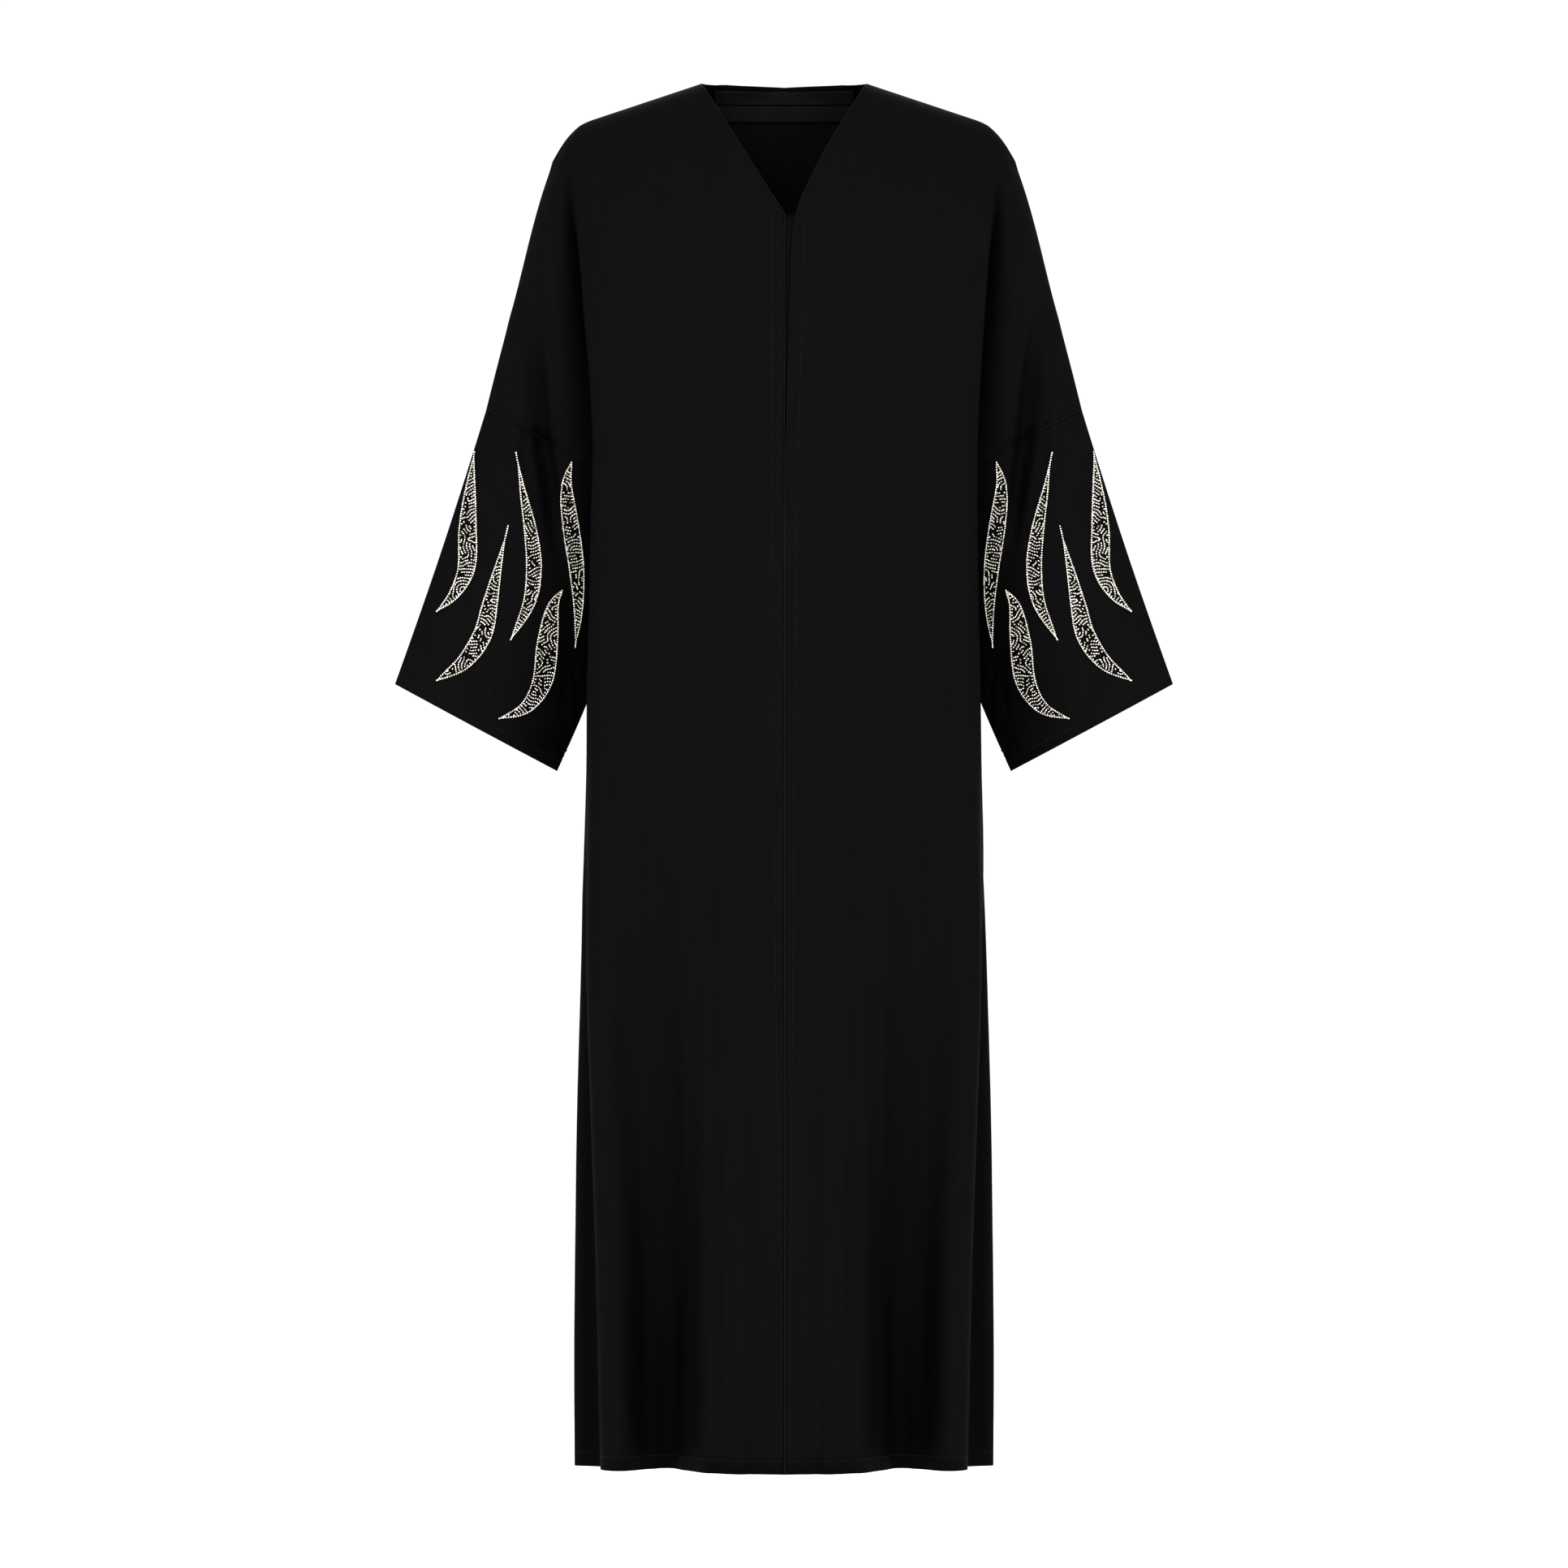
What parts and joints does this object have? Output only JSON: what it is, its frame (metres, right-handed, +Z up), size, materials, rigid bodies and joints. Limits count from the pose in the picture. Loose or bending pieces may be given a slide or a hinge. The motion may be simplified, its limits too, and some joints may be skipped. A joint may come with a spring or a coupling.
{
  "type": "abaya",
  "caption": "Loose full-length open-front robe with a V neck and wide cut-on sleeves, filled out as if worn.",
  "frame": {"origin": "on the shoulder line, midway between the two neck points, where the wearer's shoulders hold the garment", "axes": "+Z up, -Y out of the front, +X towards the wearer's left"},
  "size_m": [0.794, 0.27, 1.4099],
  "materials": {
    "cloth": "matt black crepe with a faint sheen",
    "beads": "silver-lined clear glass beads"
  },
  "bodies": {
    "root": {"back": "cloth", "front_left": "cloth", "front_right": "cloth", "sleeve_left": "cloth", "sleeve_right": "cloth", "underlap": "cloth", "neck_band": "cloth", "neck_facing": "cloth"}
  },
  "joints": []
}
